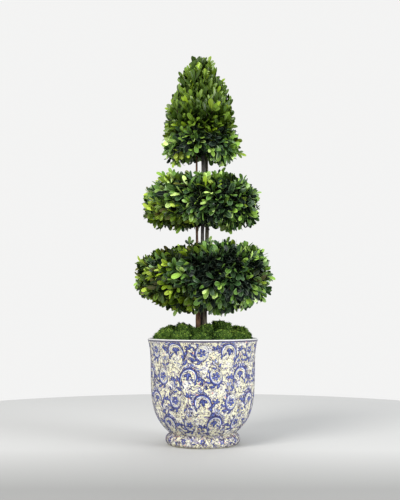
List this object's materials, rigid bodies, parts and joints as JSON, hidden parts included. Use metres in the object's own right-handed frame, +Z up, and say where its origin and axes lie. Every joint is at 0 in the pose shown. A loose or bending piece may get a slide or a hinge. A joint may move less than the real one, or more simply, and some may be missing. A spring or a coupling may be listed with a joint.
{
  "type": "tiered topiary in a pot",
  "caption": "Clipped small-leaved topiary: a cone over two flattened ball tiers on bare bundled stems, in moss in a footed, glazed pot with a scroll pattern.",
  "frame": {"origin": "middle of the pot's flat underside, where it stands", "axes": "+Z up along the stems, -Y the front, +X to the right of someone who looks at the front"},
  "size_m": [0.2645, 0.2658, 0.7707],
  "materials": {
    "glazed_pot": "gloss",
    "planting_fill": "matte",
    "bark": "matte",
    "moss": "matte",
    "foliage": "satin"
  },
  "bodies": {
    "root": {"pot": "glazed_pot", "planting_fill": "planting_fill", "trunk_stem_1": "bark", "trunk_stem_2": "bark", "trunk_stem_3": "bark", "trunk_stem_4": "bark", "moss_inner_1": "moss", "moss_inner_2": "moss", "moss_inner_3": "moss", "moss_inner_4": "moss", "moss_inner_5": "moss", "moss_inner_6": "moss", "moss_outer_1": "moss", "moss_outer_2": "moss", "moss_outer_3": "moss", "moss_outer_4": "moss", "moss_outer_5": "moss", "moss_outer_6": "moss", "moss_outer_7": "moss", "moss_outer_8": "moss", "moss_outer_9": "moss", "moss_outer_10": "moss", "moss_outer_11": "moss", "moss_outer_12": "moss", "lower_tier_foliage": "foliage", "middle_tier_foliage": "foliage", "top_cone_foliage": "foliage"}
  },
  "joints": []
}
